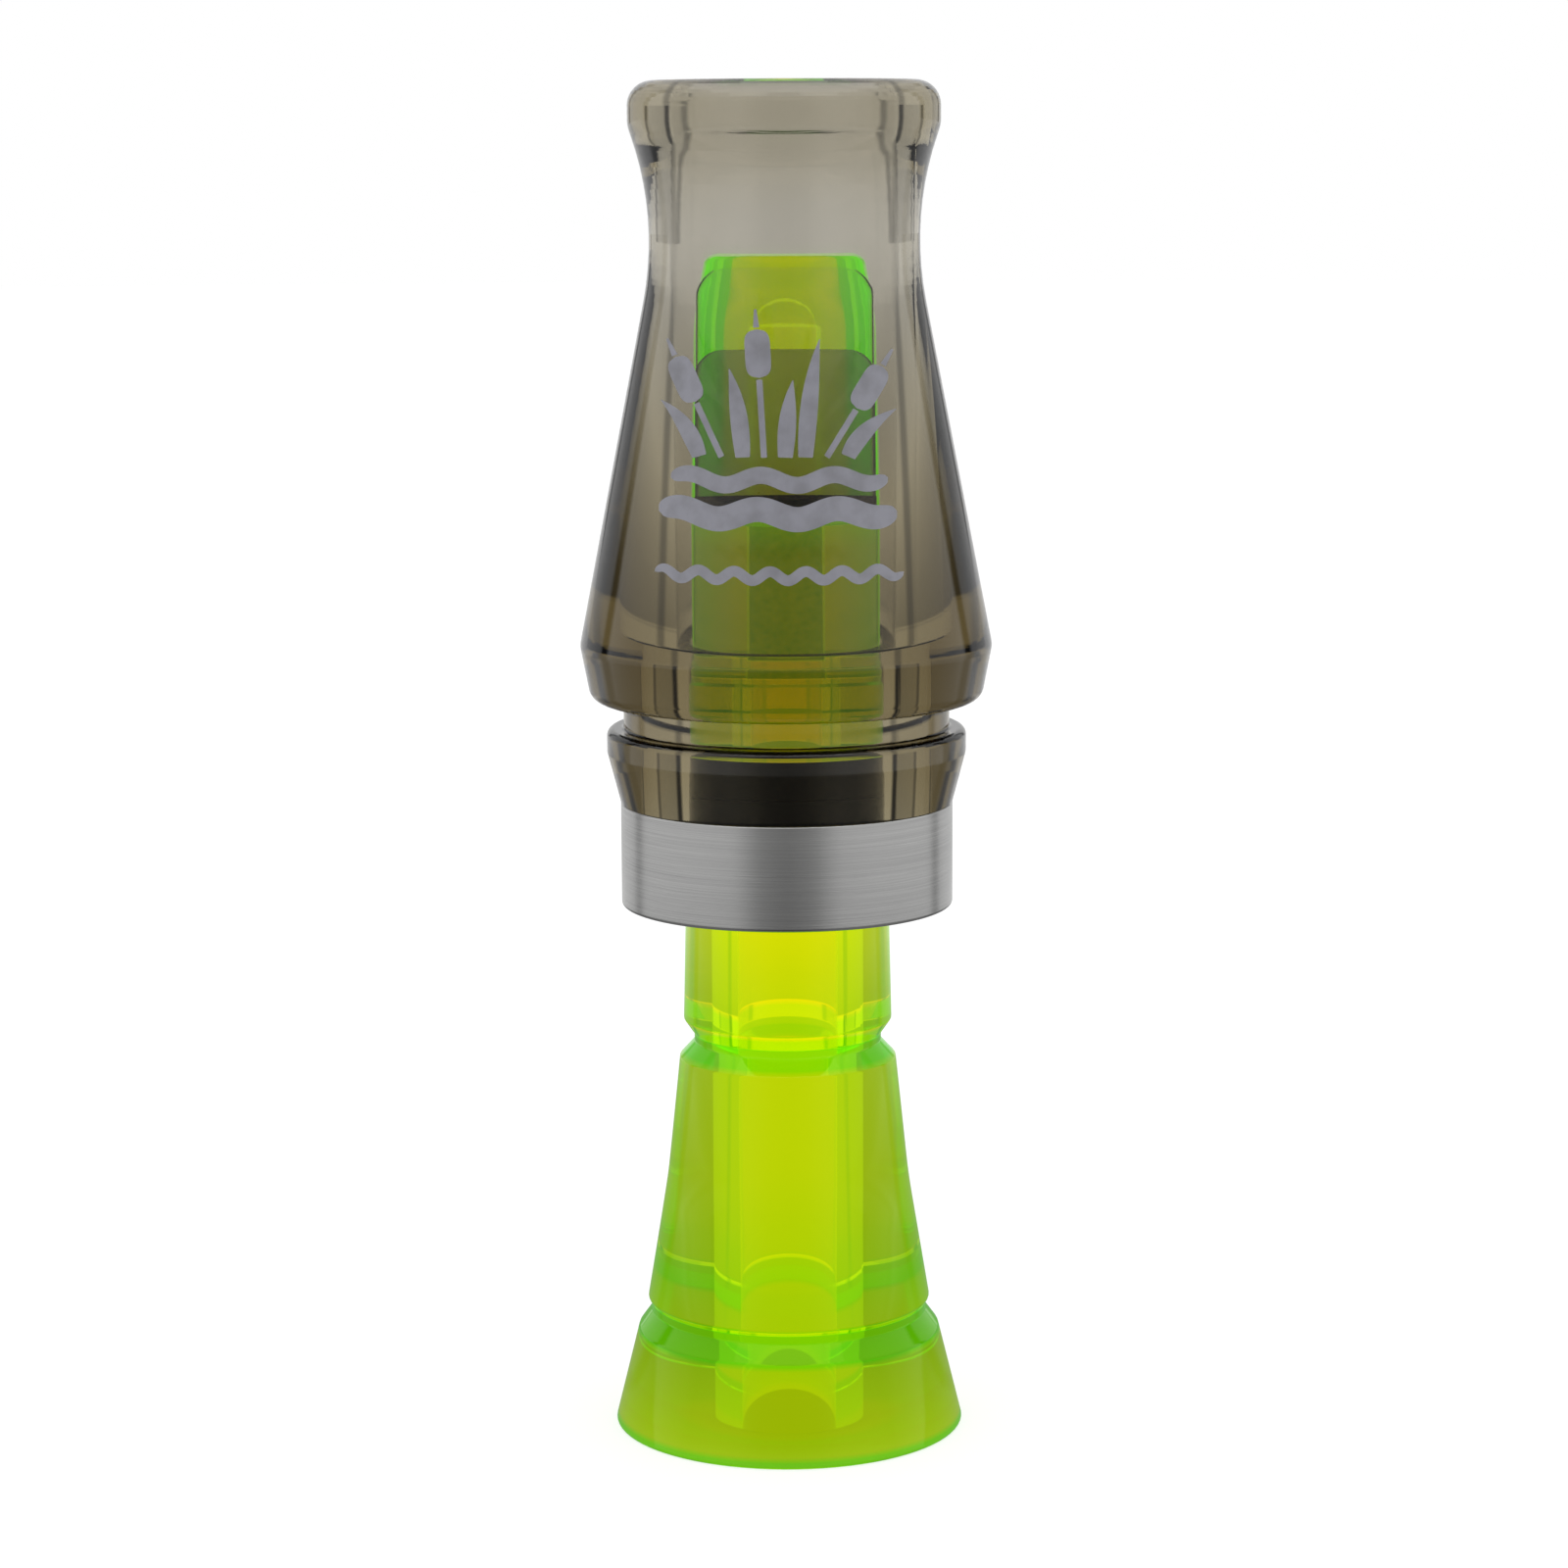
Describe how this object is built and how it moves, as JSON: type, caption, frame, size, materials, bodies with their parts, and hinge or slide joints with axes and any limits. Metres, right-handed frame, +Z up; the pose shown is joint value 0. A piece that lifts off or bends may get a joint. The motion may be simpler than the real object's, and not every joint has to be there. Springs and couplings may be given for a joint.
{
  "type": "duck call",
  "caption": "Slender reed call for waterfowl: tinted clear barrel with a lanyard groove and metal band, and a pull-out bright green insert with tone board, reeds, wedge and flared bell.",
  "frame": {"origin": "centre of the bell's foot, on the surface that the call stands on", "axes": "+Z up along the bore, from the bell to the mouthpiece; the reeds face -Y"},
  "size_m": [0.0384, 0.0384, 0.127],
  "materials": {
    "barrel": "polished, tinted clear",
    "band": "brushed round its axis",
    "insert": "polished, clear fluorescent",
    "reed": "frosted film",
    "wedge": "cork",
    "seal": "smooth"
  },
  "bodies": {
    "insert": {"insert": "insert"},
    "seals": {"seal_upper": "seal", "seal_lower": "seal"},
    "barrel": {"barrel": "barrel", "band": "band"},
    "wedge": {"wedge": "wedge"},
    "long_reed": {"long_reed": "reed"},
    "short_reed": {"short_reed": "reed"}
  },
  "joints": [
    {"name": "barrel_twist", "type": "hinge", "parent": "insert", "child": "seals", "pos_m": [0, 0, 0.062], "axis": [0, 0, 1], "continuous": true},
    {"name": "barrel_pull", "type": "slide", "parent": "seals", "child": "barrel", "axis": [0, 0, 1], "range_m": [0, 0.065]},
    {"name": "wedge_pull", "type": "slide", "parent": "insert", "child": "wedge", "axis": [0, 0, 1], "range_m": [0, 0.013]},
    {"name": "long_reed_flex", "type": "hinge", "parent": "wedge", "child": "long_reed", "pos_m": [0, -0.00333, 0.091], "axis": [-1, 0, 0], "range_deg": [0, 2.3], "stiffness_Nm_per_rad": 0.012, "deforming": ["long_reed"]},
    {"name": "short_reed_flex", "type": "hinge", "parent": "wedge", "child": "short_reed", "pos_m": [0, -0.00333, 0.091], "axis": [-1, 0, 0], "range_deg": [0, 2.3], "stiffness_Nm_per_rad": 0.012, "deforming": ["short_reed"]}
  ],
  "couplings": [
    {"joint": "short_reed_flex", "follows": "long_reed_flex", "ratio": 1}
  ]
}
